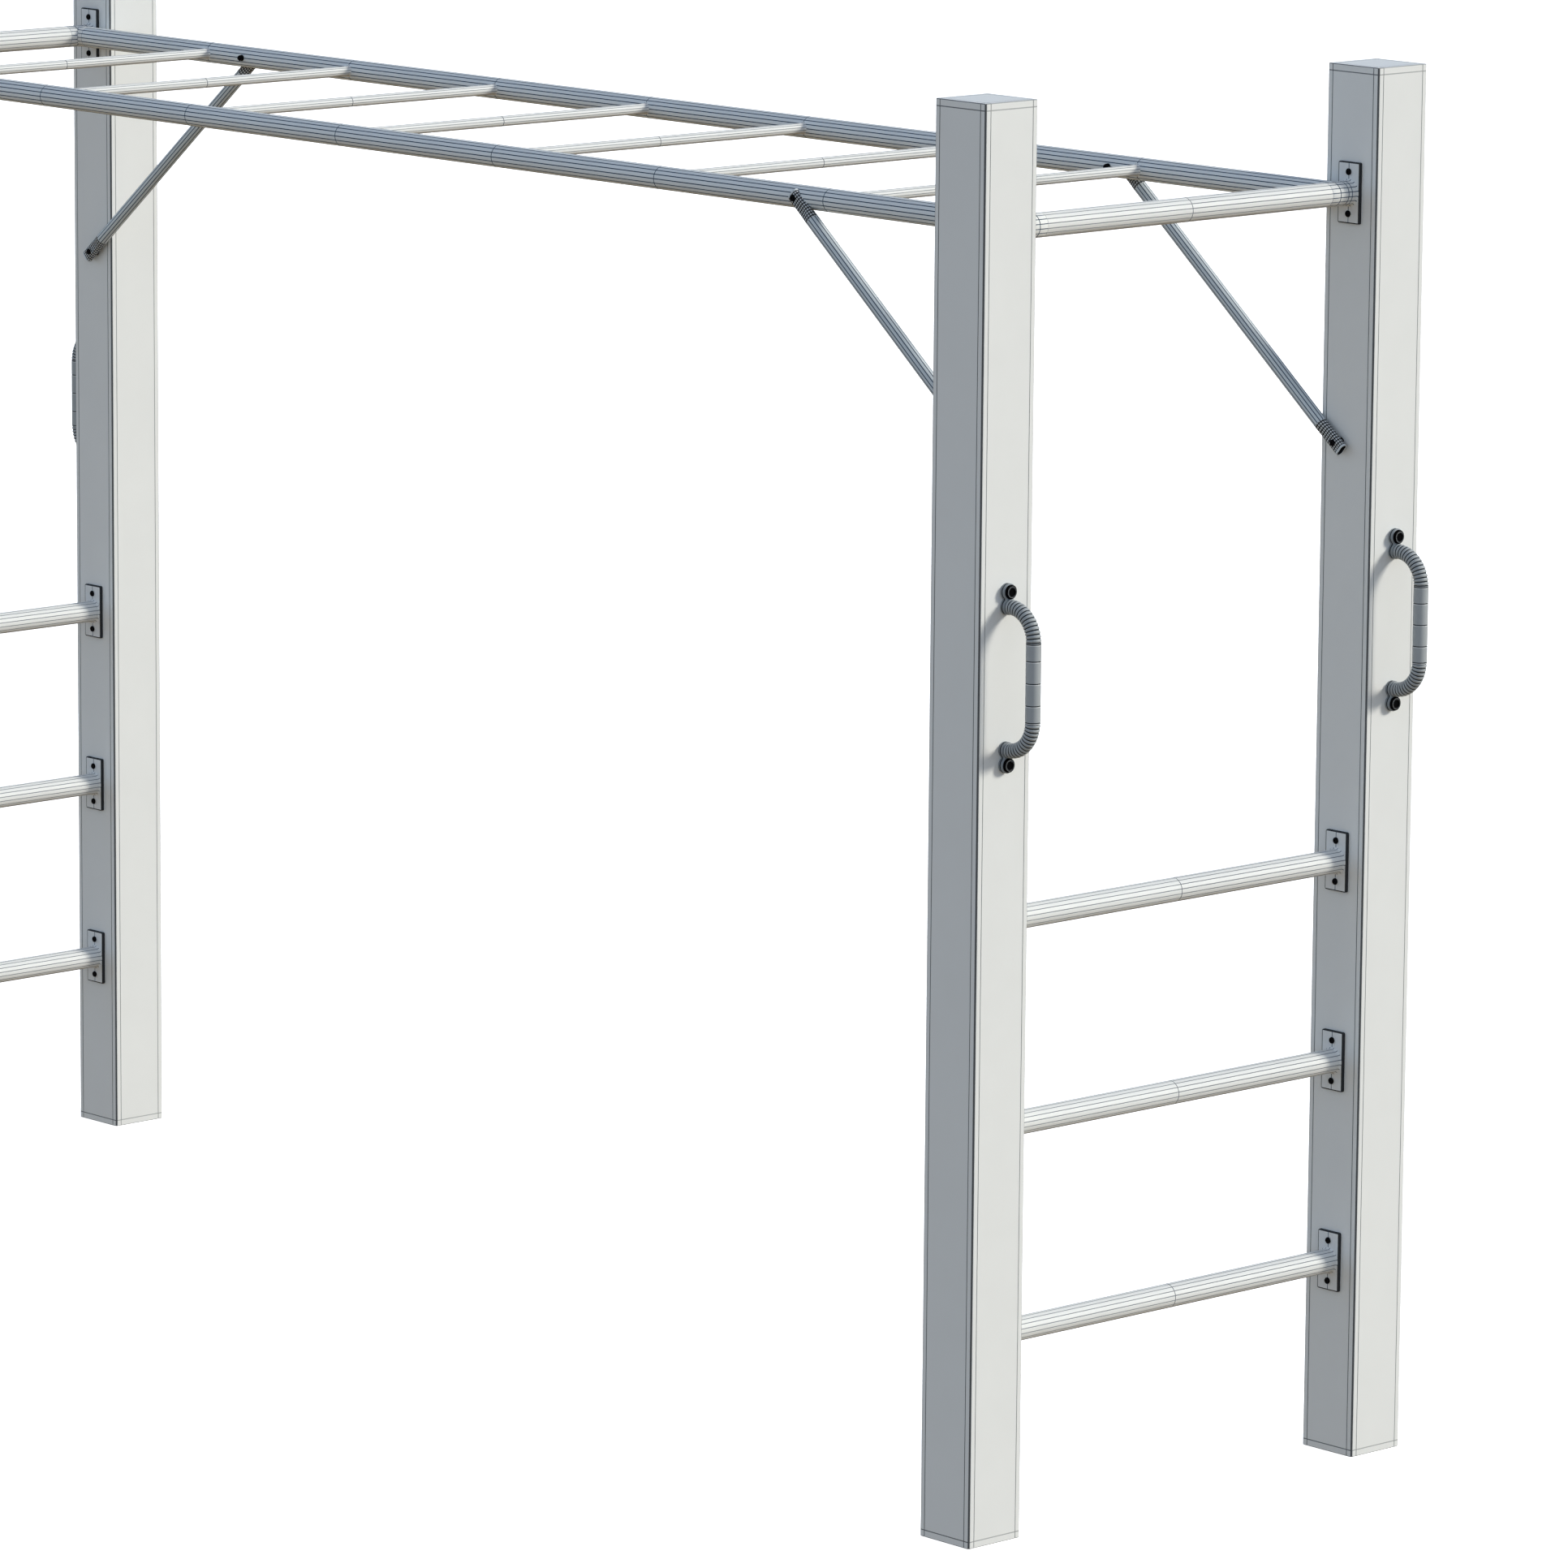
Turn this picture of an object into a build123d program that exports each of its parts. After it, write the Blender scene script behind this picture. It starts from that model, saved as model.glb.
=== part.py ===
from build123d import *
from collections import namedtuple
import math
import os

# Free-standing monkey bars: four square posts, an overhead ladder between
# them, a climbing ladder at each end, corner braces and grab handles.
# Millimetres. X runs along the bars, Y across them, Z up. The origin is on
# the ground, in the middle of the four posts. Front is -Y, right is +X.

# ---- driving dimensions -------------------------------------------------
POST = 100.0                # square post, across flats
POST_WALL = 3.0
POST_CORNER = 4.0           # outside corner radius
POST_HEIGHT = 2025.0        # ground to the top of the cap
LENGTH = 2890.0             # post centre to post centre along X
WIDTH = 770.0               # post centre to post centre along Y
END_BAND = 10.0             # visible thickness of a cap or a foot
INSERT_DEPTH = 35.0         # how far a cap or a foot reaches into its post
INSERT_CLEARANCE = 0.3
INSERT_WALL = 3.0
END_CHAMFER = 0.8           # outer edge of a cap's top and a foot's bottom
GROOVE_INSET = 10.0         # post groove, from the nearest corner
GROOVE_WIDTH = 0.8
GROOVE_DEPTH = 0.4

TUBE = 35.0                 # ladder rungs, end tubes and corner tees
RAIL = 33.7                 # side rails
TUBE_WALL = 2.0
RUNG = 16.0                 # overhead rungs
RUNG_WALL = 1.5
COPE_GAP = 0.02             # between a coped tube end and the tube it meets

TOP_LEVEL = 1844.0          # axis of the overhead frame
LADDER_LEVELS = {"low": 286.0, "middle": 583.0, "high": 877.0}
RAIL_INSET = 26.0           # rail axis, from the post's inner face
RUNG_COUNT = 7
RUNG_PITCH = 357.0          # counted from the left end tube
TEE_ARM = 28.0              # from the tee's centre to its two seams
SPIGOT_LENGTH = 32.0
SPIGOT_CLEARANCE = 0.15

PLATE_WIDTH = 42.0
PLATE_HEIGHT = 88.0
PLATE_THICKNESS = 5.0
PLATE_CORNER = 2.5
SCREW_SPACING = 60.0

BRACE_TUBE = 20.0
BRACE_WALL = 1.5
BRACE_REACH = 448.0         # upper bolt, from the post's centre along X
BRACE_FOOT_INSET = 11.0     # lower bolt, from the post's centre along X
BRACE_FOOT_LEVEL = 1485.0
BRACE_FOOT_OVERHANG = 16.0  # lower bolt to the open tip
BRACE_HEAD_OVERHANG = 8.0   # upper bolt to the open tip
BRACE_FLAT = 12.0           # thickness of the flattened end
BRACE_FLAT_WIDTH = 21.0
BRACE_FLAT_LENGTH = 34.0
BRACE_SLEEVE_LENGTH = 54.0  # tip to the seam with the tube
BRACE_INSET = 10.3          # brace axis, from the post's inner face
BRACE_SPACER = 14.0         # ring between a brace and its post

HANDLE_LEVEL = 1230.0
HANDLE_SPACING = 242.0      # bolt to bolt
HANDLE_LOBE_SPACING = 21.0  # bolt to the tube end beside it
HANDLE_DIAMETER = 21.5
HANDLE_STANDOFF = 55.5      # grip axis, from the post's face
HANDLE_BEND = 45.0
HANDLE_WALL = 3.5
FOOT_LOBE = 23.0
FOOT_WEB = 14.0
FOOT_DEPTH = 8.0
COUNTERBORE = 14.5          # seat of the bolt head, sunk into the foot
COUNTERBORE_DEPTH = 4.0
CAP_DIAMETER = 20.0
CAP_HEIGHT = 4.0
CAP_DIMPLE = 11.0
CAP_DIMPLE_DEPTH = 1.0
CAP_ROUNDING = 1.6

# Button-head screws and the rivet nuts they go into. The dome is both the
# edge radius of a head and the depth of its socket, and the skirt is the
# inner radius of the ring where the nut is clenched behind the wall.
Screw = namedtuple("Screw", "shank hole head height hexagon dome nut_body nut_head skirt")
M8 = Screw(shank=8.0, hole=8.6, head=13.0, height=5.0, hexagon=5.0, dome=3.0,
           nut_body=11.0, nut_head=14.0, skirt=4.5)
M5 = Screw(shank=5.0, hole=5.5, head=9.5, height=2.75, hexagon=3.0, dome=1.8,
           nut_body=7.0, nut_head=10.0, skirt=2.8)
NUT_FLATS = 8.0
NUT_HEIGHT = 4.7
WASHER = 10.0
WASHER_THICKNESS = 1.0
RIVET_NUT_LENGTH = 18.0
CLENCH_THICKNESS = 1.6
SCREW_REACH = 20.0          # thread length inside a post
BOLT_END = 2.0              # bolt end that stands out of its nut

# ---- derived dimensions -------------------------------------------------
POST_X = LENGTH / 2
POST_Y = WIDTH / 2
FACE_X = POST_X + POST / 2                   # post faces that carry the handles
INNER_Y = POST_Y - POST / 2                  # post faces that face each other
RAIL_Y = INNER_Y - RAIL_INSET
PLATE_Y = INNER_Y - PLATE_THICKNESS
BORE = POST - 2 * POST_WALL                  # inside of a post
INSERT = BORE - 2 * INSERT_CLEARANCE         # part of a cap or foot inside it
INSERT_BORE = INSERT - 2 * INSERT_WALL
SCREW_OFFSETS = (-SCREW_SPACING / 2, SCREW_SPACING / 2)
PLATE_LEVELS = (*LADDER_LEVELS.values(), TOP_LEVEL)
BRACE_X = POST_X - BRACE_REACH
BRACE_FOOT_X = POST_X - BRACE_FOOT_INSET
BRACE_RISE = TOP_LEVEL - BRACE_FOOT_LEVEL
BRACE_RUN = BRACE_FOOT_X - BRACE_X
BRACE_BOLT_LENGTH = math.hypot(BRACE_RISE, BRACE_RUN)
BRACE_LENGTH = BRACE_BOLT_LENGTH + BRACE_FOOT_OVERHANG + BRACE_HEAD_OVERHANG
BRACE_Y = INNER_Y - BRACE_INSET
BRACE_FLAT_INNER = BRACE_Y - BRACE_FLAT / 2
BRACE_FLAT_OUTER = BRACE_Y + BRACE_FLAT / 2
HANDLE_END_OFFSET = HANDLE_SPACING / 2 - HANDLE_LOBE_SPACING
SIDES = {"front": -1, "rear": 1}
ENDS = {"left": -1, "right": 1}
CORNERS = [(side, end) for side in SIDES for end in ENDS]

os.makedirs("parts", exist_ok=True)


def save(part, name):
    part.label = name
    export_step(part, f"parts/{name}.step")


def post_outline():
    """Square with round corners and a fine groove beside every corner."""
    with BuildSketch() as outline:
        RectangleRounded(POST, POST, POST_CORNER)
        with PolarLocations(POST / 2, 4):
            with Locations((0, POST / 2 - GROOVE_INSET), (0, GROOVE_INSET - POST / 2)):
                Rectangle(2 * GROOVE_DEPTH, GROOVE_WIDTH, mode=Mode.SUBTRACT)
    return outline.sketch


def along_x(x, y, z):
    """Sketch plane that faces +X, with its own X along +Y and its Y up."""
    return Plane(origin=(x, y, z), x_dir=(0, 1, 0), z_dir=(1, 0, 0))


def along_y(x, y, z):
    """Sketch plane that faces +Y, with its own X along -X and its Y up."""
    return Plane(origin=(x, y, z), x_dir=(-1, 0, 0), z_dir=(0, 1, 0))


# ---- posts, caps and feet -----------------------------------------------
POST_OUTLINE = post_outline()

for side, end in CORNERS:
    x = ENDS[end] * POST_X
    y = SIDES[side] * POST_Y
    face_y = SIDES[side] * INNER_Y
    with BuildPart() as post:
        with BuildSketch(Plane((x, y, END_BAND))):
            add(POST_OUTLINE)
            RectangleRounded(BORE, BORE, POST_CORNER - POST_WALL, mode=Mode.SUBTRACT)
        extrude(amount=POST_HEIGHT - 2 * END_BAND)
        # Rivet nuts sit in these holes, for the plates and the brace.
        with BuildSketch(along_y(x, face_y, 0)):
            for level in PLATE_LEVELS:
                with Locations(*[(0, level + offset) for offset in SCREW_OFFSETS]):
                    Circle(M5.nut_body / 2)
            with Locations((ENDS[end] * BRACE_FOOT_INSET, BRACE_FOOT_LEVEL)):
                Circle(M5.nut_body / 2)
        extrude(amount=2 * POST_WALL, both=True, mode=Mode.SUBTRACT)
        # The same for the grab handle, on the outward end face.
        with BuildSketch(along_x(x + ENDS[end] * POST / 2, y, HANDLE_LEVEL)):
            with Locations((0, HANDLE_SPACING / 2), (0, -HANDLE_SPACING / 2)):
                Circle(M8.nut_body / 2)
        extrude(amount=2 * POST_WALL, both=True, mode=Mode.SUBTRACT)
    save(post.part, f"post_{side}_{end}")

    with BuildPart() as cap:
        with BuildSketch(Plane((x, y, POST_HEIGHT - END_BAND))):
            add(POST_OUTLINE)
        extrude(amount=END_BAND)
        chamfer(cap.faces().sort_by(Axis.Z)[-1].outer_wire().edges(), length=END_CHAMFER)
        with BuildSketch(Plane((x, y, POST_HEIGHT - END_BAND))):
            Rectangle(INSERT, INSERT)
            Rectangle(INSERT_BORE, INSERT_BORE, mode=Mode.SUBTRACT)
        extrude(amount=-INSERT_DEPTH)
    save(cap.part, f"post_cap_{side}_{end}")

    with BuildPart() as foot:
        with BuildSketch(Plane((x, y, 0))):
            add(POST_OUTLINE)
        extrude(amount=END_BAND)
        chamfer(foot.faces().sort_by(Axis.Z)[0].outer_wire().edges(), length=END_CHAMFER)
        with BuildSketch(Plane((x, y, END_BAND))):
            Rectangle(INSERT, INSERT)
            Rectangle(INSERT_BORE, INSERT_BORE, mode=Mode.SUBTRACT)
        extrude(amount=INSERT_DEPTH)
    save(foot.part, f"post_foot_{side}_{end}")

# ---- overhead frame -----------------------------------------------------
TEE_SEAM_X = POST_X - TEE_ARM
TEE_SEAM_Y = RAIL_Y - TEE_ARM
TUBE_BORE = TUBE - 2 * TUBE_WALL
RAIL_BORE = RAIL - 2 * TUBE_WALL

for side in SIDES:
    with BuildPart() as rail:
        with BuildSketch(along_x(-TEE_SEAM_X, SIDES[side] * RAIL_Y, TOP_LEVEL)):
            Circle(RAIL / 2)
            Circle(RAIL_BORE / 2, mode=Mode.SUBTRACT)
        extrude(amount=2 * TEE_SEAM_X)
        with BuildSketch(along_y(0, SIDES[side] * RAIL_Y, TOP_LEVEL)):
            with Locations((-BRACE_X, 0), (BRACE_X, 0)):
                Circle(M5.hole / 2)
        extrude(amount=RAIL, both=True, mode=Mode.SUBTRACT)
    save(rail.part, f"side_rail_{side}")

for end in ENDS:
    with BuildPart() as end_tube:
        with BuildSketch(along_y(ENDS[end] * POST_X, -TEE_SEAM_Y, TOP_LEVEL)):
            Circle(TUBE / 2)
            Circle(TUBE_BORE / 2, mode=Mode.SUBTRACT)
        extrude(amount=2 * TEE_SEAM_Y)
    save(end_tube.part, f"end_tube_{end}")

# Each corner tee joins a side rail, an end tube and the plate on the post.
# Its two free arms carry spigots that reach into the rail and the tube.
for side, end in CORNERS:
    x = ENDS[end] * POST_X
    rail_y = SIDES[side] * RAIL_Y
    plate_y = SIDES[side] * PLATE_Y
    run = PLATE_Y - TEE_SEAM_Y
    with BuildPart() as tee:
        with BuildSketch(along_y(x, plate_y, TOP_LEVEL)):
            Circle(TUBE / 2)
        extrude(amount=-SIDES[side] * run)
        with BuildSketch(along_x(x, rail_y, TOP_LEVEL)):
            Circle(RAIL / 2)
        extrude(amount=-ENDS[end] * TEE_ARM)
        with BuildSketch(along_y(x, plate_y, TOP_LEVEL)):
            Circle(TUBE_BORE / 2 - SPIGOT_CLEARANCE)
        extrude(amount=-SIDES[side] * (run + SPIGOT_LENGTH))
        with BuildSketch(along_x(x, rail_y, TOP_LEVEL)):
            Circle(RAIL_BORE / 2 - SPIGOT_CLEARANCE)
        extrude(amount=-ENDS[end] * (TEE_ARM + SPIGOT_LENGTH))
        with BuildSketch(along_y(x, plate_y, TOP_LEVEL)):
            Circle(TUBE_BORE / 2 - TUBE_WALL)
        extrude(amount=-SIDES[side] * (run + SPIGOT_LENGTH), mode=Mode.SUBTRACT)
        with BuildSketch(along_x(x, rail_y, TOP_LEVEL)):
            Circle(RAIL_BORE / 2 - TUBE_WALL)
        extrude(amount=-ENDS[end] * (TEE_ARM + SPIGOT_LENGTH), mode=Mode.SUBTRACT)
    save(tee.part, f"corner_tee_{side}_{end}")

for index in range(RUNG_COUNT):
    x = RUNG_PITCH * (index + 1) - POST_X
    with BuildPart() as rung:
        with BuildSketch(along_y(x, -RAIL_Y, TOP_LEVEL)):
            Circle(RUNG / 2)
            Circle(RUNG / 2 - RUNG_WALL, mode=Mode.SUBTRACT)
        extrude(amount=2 * RAIL_Y)
        with Locations((x, -RAIL_Y, TOP_LEVEL), (x, RAIL_Y, TOP_LEVEL)):
            Cylinder(RAIL / 2 + COPE_GAP, 2 * RUNG, rotation=(0, 90, 0), mode=Mode.SUBTRACT)
    save(rung.part, f"overhead_rung_{index + 1}")

# ---- climbing ladders ---------------------------------------------------
for end in ENDS:
    for level_name, level in LADDER_LEVELS.items():
        with BuildPart() as ladder_rung:
            with BuildSketch(along_y(ENDS[end] * POST_X, -PLATE_Y, level)):
                Circle(TUBE / 2)
                Circle(TUBE_BORE / 2, mode=Mode.SUBTRACT)
            extrude(amount=2 * PLATE_Y)
        save(ladder_rung.part, f"ladder_rung_{end}_{level_name}")

for side, end in CORNERS:
    with BuildPart() as plates:
        with BuildSketch(along_y(ENDS[end] * POST_X, SIDES[side] * INNER_Y, 0)):
            with Locations(*[(0, level) for level in PLATE_LEVELS]):
                RectangleRounded(PLATE_WIDTH, PLATE_HEIGHT, PLATE_CORNER)
            for level in PLATE_LEVELS:
                with Locations(*[(0, level + offset) for offset in SCREW_OFFSETS]):
                    Circle(M5.hole / 2, mode=Mode.SUBTRACT)
        extrude(amount=-SIDES[side] * PLATE_THICKNESS)
    save(plates.part, f"mounting_plates_{side}_{end}")


# ---- fasteners ----------------------------------------------------------
def fastener_plane(x, y, z, out):
    """Plane on a seat, whose normal points the way the head stands out."""
    up = (0, 0, 1)
    return Plane(origin=(x, y, z), x_dir=up, z_dir=out)


def button_screw(size, seat, reach):
    """Button-head screw: domed head, hexagon socket, plain shank."""
    with BuildPart() as screw:
        with BuildSketch(seat):
            Circle(size.head / 2)
        extrude(amount=size.height)
        rim = screw.faces().sort_by(Axis(seat.origin, seat.z_dir))[-1].edges()
        fillet(rim, radius=size.dome)
        with BuildSketch(seat.offset(size.height)):
            RegularPolygon(size.hexagon / 2, 6, major_radius=False)
        extrude(amount=-size.dome, mode=Mode.SUBTRACT)
        with BuildSketch(seat):
            Circle(size.shank / 2)
        extrude(amount=-reach)
    return screw.part


def rivet_nut(size, wall):
    """Threaded insert, flush with the post's face, clenched behind its wall."""
    with BuildPart() as nut:
        with BuildSketch(wall):
            Circle(size.nut_body / 2 - COPE_GAP)
            Circle(size.shank / 2 + COPE_GAP, mode=Mode.SUBTRACT)
        extrude(amount=-RIVET_NUT_LENGTH)
        with BuildSketch(wall.offset(-POST_WALL - COPE_GAP)):
            Circle(size.nut_head / 2)
            Circle(size.skirt, mode=Mode.SUBTRACT)
        extrude(amount=-CLENCH_THICKNESS)
    return nut.part


def hex_nut(seat):
    """M5 nut with the washer under it, on the seat's outer side."""
    with BuildPart() as nut:
        with BuildSketch(seat):
            Circle(WASHER / 2)
        extrude(amount=WASHER_THICKNESS)
        with BuildSketch(seat.offset(WASHER_THICKNESS)):
            RegularPolygon(NUT_FLATS / 2, 6, major_radius=False)
        extrude(amount=NUT_HEIGHT)
        with BuildSketch(seat):
            Circle(M5.shank / 2 + COPE_GAP)
        extrude(amount=WASHER_THICKNESS + NUT_HEIGHT, mode=Mode.SUBTRACT)
    return nut.part


def spacer_ring(seat, length):
    """Ring that a brace bolt passes through, from the seat back to the post."""
    with BuildPart() as ring:
        with BuildSketch(seat):
            Circle(BRACE_SPACER / 2)
            Circle(M5.hole / 2, mode=Mode.SUBTRACT)
        extrude(amount=-length)
    return ring.part


def save_group(solids, name):
    """Identical fasteners share one node, each as its own solid."""
    with BuildPart() as group:
        for solid in solids:
            add(solid)
    save(group.part, name)


plate_screws = []
rivet_nuts = []
brace_post_bolts = []
brace_rail_bolts = []
brace_rail_nuts = []
brace_spacers = []
handle_bolts = []
for side, end in CORNERS:
    x = ENDS[end] * POST_X
    inward = (0, -SIDES[side], 0)
    face_y = SIDES[side] * INNER_Y
    for level in PLATE_LEVELS:
        for offset in SCREW_OFFSETS:
            seat = fastener_plane(x, SIDES[side] * PLATE_Y, level + offset, inward)
            plate_screws.append(button_screw(M5, seat, SCREW_REACH + PLATE_THICKNESS))
            wall = fastener_plane(x, face_y, level + offset, inward)
            rivet_nuts.append(rivet_nut(M5, wall))
    brace_foot_x = ENDS[end] * BRACE_FOOT_X
    seat = fastener_plane(brace_foot_x, SIDES[side] * BRACE_FLAT_INNER, BRACE_FOOT_LEVEL, inward)
    brace_post_bolts.append(button_screw(M5, seat, SCREW_REACH + INNER_Y - BRACE_FLAT_INNER))
    seat = fastener_plane(brace_foot_x, SIDES[side] * BRACE_FLAT_OUTER, BRACE_FOOT_LEVEL, inward)
    brace_spacers.append(spacer_ring(seat, INNER_Y - BRACE_FLAT_OUTER))
    wall = fastener_plane(brace_foot_x, face_y, BRACE_FOOT_LEVEL, inward)
    rivet_nuts.append(rivet_nut(M5, wall))

    brace_x = ENDS[end] * BRACE_X
    outward = (0, SIDES[side], 0)
    seat = fastener_plane(brace_x, SIDES[side] * BRACE_FLAT_OUTER, TOP_LEVEL, outward)
    nut_y = RAIL_Y - RAIL / 2
    bolt_reach = BRACE_FLAT_OUTER - nut_y + WASHER_THICKNESS + NUT_HEIGHT + BOLT_END
    brace_rail_bolts.append(button_screw(M5, seat, bolt_reach))
    seat = fastener_plane(brace_x, SIDES[side] * nut_y, TOP_LEVEL, inward)
    brace_rail_nuts.append(hex_nut(seat))

    out = (ENDS[end], 0, 0)
    for offset in (-HANDLE_SPACING / 2, HANDLE_SPACING / 2):
        seat_x = ENDS[end] * (FACE_X + FOOT_DEPTH - COUNTERBORE_DEPTH)
        seat = fastener_plane(seat_x, SIDES[side] * POST_Y, HANDLE_LEVEL + offset, out)
        handle_bolts.append(button_screw(M8, seat, SCREW_REACH + FOOT_DEPTH - COUNTERBORE_DEPTH))
        wall = fastener_plane(ENDS[end] * FACE_X, SIDES[side] * POST_Y, HANDLE_LEVEL + offset, out)
        rivet_nuts.append(rivet_nut(M8, wall))

save_group(handle_bolts, "handle_bolts")
save_group(plate_screws, "plate_screws")
save_group(rivet_nuts, "rivet_nuts")
save_group(brace_post_bolts, "brace_post_bolts")
save_group(brace_rail_bolts, "brace_rail_bolts")
save_group(brace_rail_nuts, "brace_rail_nuts")
save_group(brace_spacers, "brace_spacers")

# ---- corner braces ------------------------------------------------------
BRACE_SPIGOT = BRACE_TUBE / 2 - BRACE_WALL - SPIGOT_CLEARANCE


def brace_plane(tip, along, side, distance):
    """Section plane across a brace, at a distance from one open tip.

    Its own X lies in the brace's upright plane and its own Y along Y.
    """
    origin = (tip[0] + along[0] * distance, SIDES[side] * BRACE_Y, tip[1] + along[1] * distance)
    return Plane(origin=origin, x_dir=(-along[1], 0, along[0]), z_dir=(along[0], 0, along[1]))


def brace_end(tip, along, side, overhang):
    """Pressed end fitting: flat and open at the tip, round at the tube."""
    flat_start = brace_plane(tip, along, side, 0)
    flat_end = brace_plane(tip, along, side, BRACE_FLAT_LENGTH)
    seam = brace_plane(tip, along, side, BRACE_SLEEVE_LENGTH)
    bolt_x = tip[0] + along[0] * overhang
    bolt_z = tip[1] + along[1] * overhang
    with BuildPart() as sleeve:
        for shrink, mode in ((0, Mode.ADD), (2 * BRACE_WALL, Mode.SUBTRACT)):
            with BuildSketch(flat_start):
                SlotOverall(BRACE_FLAT_WIDTH - shrink, BRACE_FLAT - shrink)
            extrude(amount=BRACE_FLAT_LENGTH, mode=mode)
            with BuildSketch(flat_end):
                SlotOverall(BRACE_FLAT_WIDTH - shrink, BRACE_FLAT - shrink)
            with BuildSketch(seam):
                SlotOverall(BRACE_TUBE + COPE_GAP - shrink, BRACE_TUBE - shrink)
            loft(mode=mode)
        with BuildSketch(seam.offset(-BRACE_WALL)):
            Circle(BRACE_TUBE / 2 - BRACE_WALL + COPE_GAP)
            Circle(BRACE_SPIGOT - BRACE_WALL, mode=Mode.SUBTRACT)
        extrude(amount=BRACE_WALL)
        with BuildSketch(seam):
            Circle(BRACE_SPIGOT)
            Circle(BRACE_SPIGOT - BRACE_WALL, mode=Mode.SUBTRACT)
        extrude(amount=SPIGOT_LENGTH)
        with BuildSketch(along_y(bolt_x, SIDES[side] * BRACE_Y, bolt_z)):
            Circle(M5.hole / 2)
        extrude(amount=BRACE_TUBE, both=True, mode=Mode.SUBTRACT)
    return sleeve.part


for side, end in CORNERS:
    run = -ENDS[end] * BRACE_RUN / BRACE_BOLT_LENGTH
    rise = BRACE_RISE / BRACE_BOLT_LENGTH
    lower_tip = (ENDS[end] * BRACE_FOOT_X - run * BRACE_FOOT_OVERHANG,
                 BRACE_FOOT_LEVEL - rise * BRACE_FOOT_OVERHANG)
    upper_tip = (ENDS[end] * BRACE_X + run * BRACE_HEAD_OVERHANG,
                 TOP_LEVEL + rise * BRACE_HEAD_OVERHANG)
    with BuildPart() as brace:
        with BuildSketch(brace_plane(lower_tip, (run, rise), side, BRACE_SLEEVE_LENGTH)):
            Circle(BRACE_TUBE / 2)
            Circle(BRACE_TUBE / 2 - BRACE_WALL, mode=Mode.SUBTRACT)
        extrude(amount=BRACE_LENGTH - 2 * BRACE_SLEEVE_LENGTH)
    save(brace.part, f"brace_{side}_{end}")
    # The upper end is coped, so it wraps round the outer side of the rail.
    with BuildPart() as upper_end:
        add(brace_end(upper_tip, (-run, -rise), side, BRACE_HEAD_OVERHANG))
        with Locations((ENDS[end] * BRACE_X, SIDES[side] * RAIL_Y, TOP_LEVEL)):
            Cylinder(RAIL / 2 + COPE_GAP, 4 * BRACE_SLEEVE_LENGTH, rotation=(0, 90, 0), mode=Mode.SUBTRACT)
    lower_end = brace_end(lower_tip, (run, rise), side, BRACE_FOOT_OVERHANG)
    save_group([lower_end, upper_end.part], f"brace_ends_{side}_{end}")

# ---- grab handles -------------------------------------------------------
handle_feet = []
bolt_caps = []
for side, end in CORNERS:
    face_x = ENDS[end] * FACE_X
    y = SIDES[side] * POST_Y
    grip_plane = Plane(origin=(face_x, y, HANDLE_LEVEL), x_dir=(ENDS[end], 0, 0), z_dir=(0, -ENDS[end], 0))
    with BuildPart() as handle:
        with BuildLine(grip_plane):
            FilletPolyline(
                (FOOT_DEPTH, HANDLE_END_OFFSET),
                (HANDLE_STANDOFF, HANDLE_END_OFFSET),
                (HANDLE_STANDOFF, -HANDLE_END_OFFSET),
                (FOOT_DEPTH, -HANDLE_END_OFFSET),
                radius=HANDLE_BEND,
            )
        with BuildSketch(along_x(face_x + ENDS[end] * FOOT_DEPTH, y, HANDLE_LEVEL + HANDLE_END_OFFSET)):
            Circle(HANDLE_DIAMETER / 2)
            Circle(HANDLE_DIAMETER / 2 - HANDLE_WALL, mode=Mode.SUBTRACT)
        sweep()
    save(handle.part, f"handle_{side}_{end}")

    for up in (-1, 1):
        bolt_level = HANDLE_LEVEL + up * HANDLE_SPACING / 2
        web_level = HANDLE_LEVEL + up * (HANDLE_SPACING / 2 - HANDLE_LOBE_SPACING / 2)
        tube_level = HANDLE_LEVEL + up * HANDLE_END_OFFSET
        with BuildPart() as foot:
            with BuildSketch(along_x(face_x, y, 0)):
                with Locations((0, bolt_level), (0, tube_level)):
                    Circle(FOOT_LOBE / 2)
                with Locations((0, web_level)):
                    Rectangle(FOOT_WEB, HANDLE_LOBE_SPACING)
            extrude(amount=ENDS[end] * FOOT_DEPTH)
            with BuildSketch(along_x(face_x, y, bolt_level)):
                Circle(M8.hole / 2)
            extrude(amount=ENDS[end] * FOOT_DEPTH, mode=Mode.SUBTRACT)
            with BuildSketch(along_x(face_x + ENDS[end] * FOOT_DEPTH, y, bolt_level)):
                Circle(COUNTERBORE / 2)
            extrude(amount=-ENDS[end] * COUNTERBORE_DEPTH, mode=Mode.SUBTRACT)
        handle_feet.append(foot.part)

        cap_x = face_x + ENDS[end] * FOOT_DEPTH
        head_room = M8.height - COUNTERBORE_DEPTH + COPE_GAP
        with BuildPart() as cap:
            with BuildSketch(along_x(cap_x, y, bolt_level)):
                Circle(CAP_DIAMETER / 2)
            extrude(amount=ENDS[end] * CAP_HEIGHT)
            top = cap.faces().sort_by(Axis.X)[-1 if ENDS[end] > 0 else 0]
            fillet(top.edges(), radius=CAP_ROUNDING)
            with BuildSketch(along_x(cap_x, y, bolt_level)):
                Circle(COUNTERBORE / 2)
            extrude(amount=ENDS[end] * head_room, mode=Mode.SUBTRACT)
            with BuildSketch(along_x(cap_x + ENDS[end] * CAP_HEIGHT, y, bolt_level)):
                Circle(CAP_DIMPLE / 2)
            extrude(amount=-ENDS[end] * CAP_DIMPLE_DEPTH, mode=Mode.SUBTRACT)
        bolt_caps.append(cap.part)
save_group(handle_feet, "handle_feet")
save_group(bolt_caps, "bolt_caps")
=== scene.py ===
import math

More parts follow.
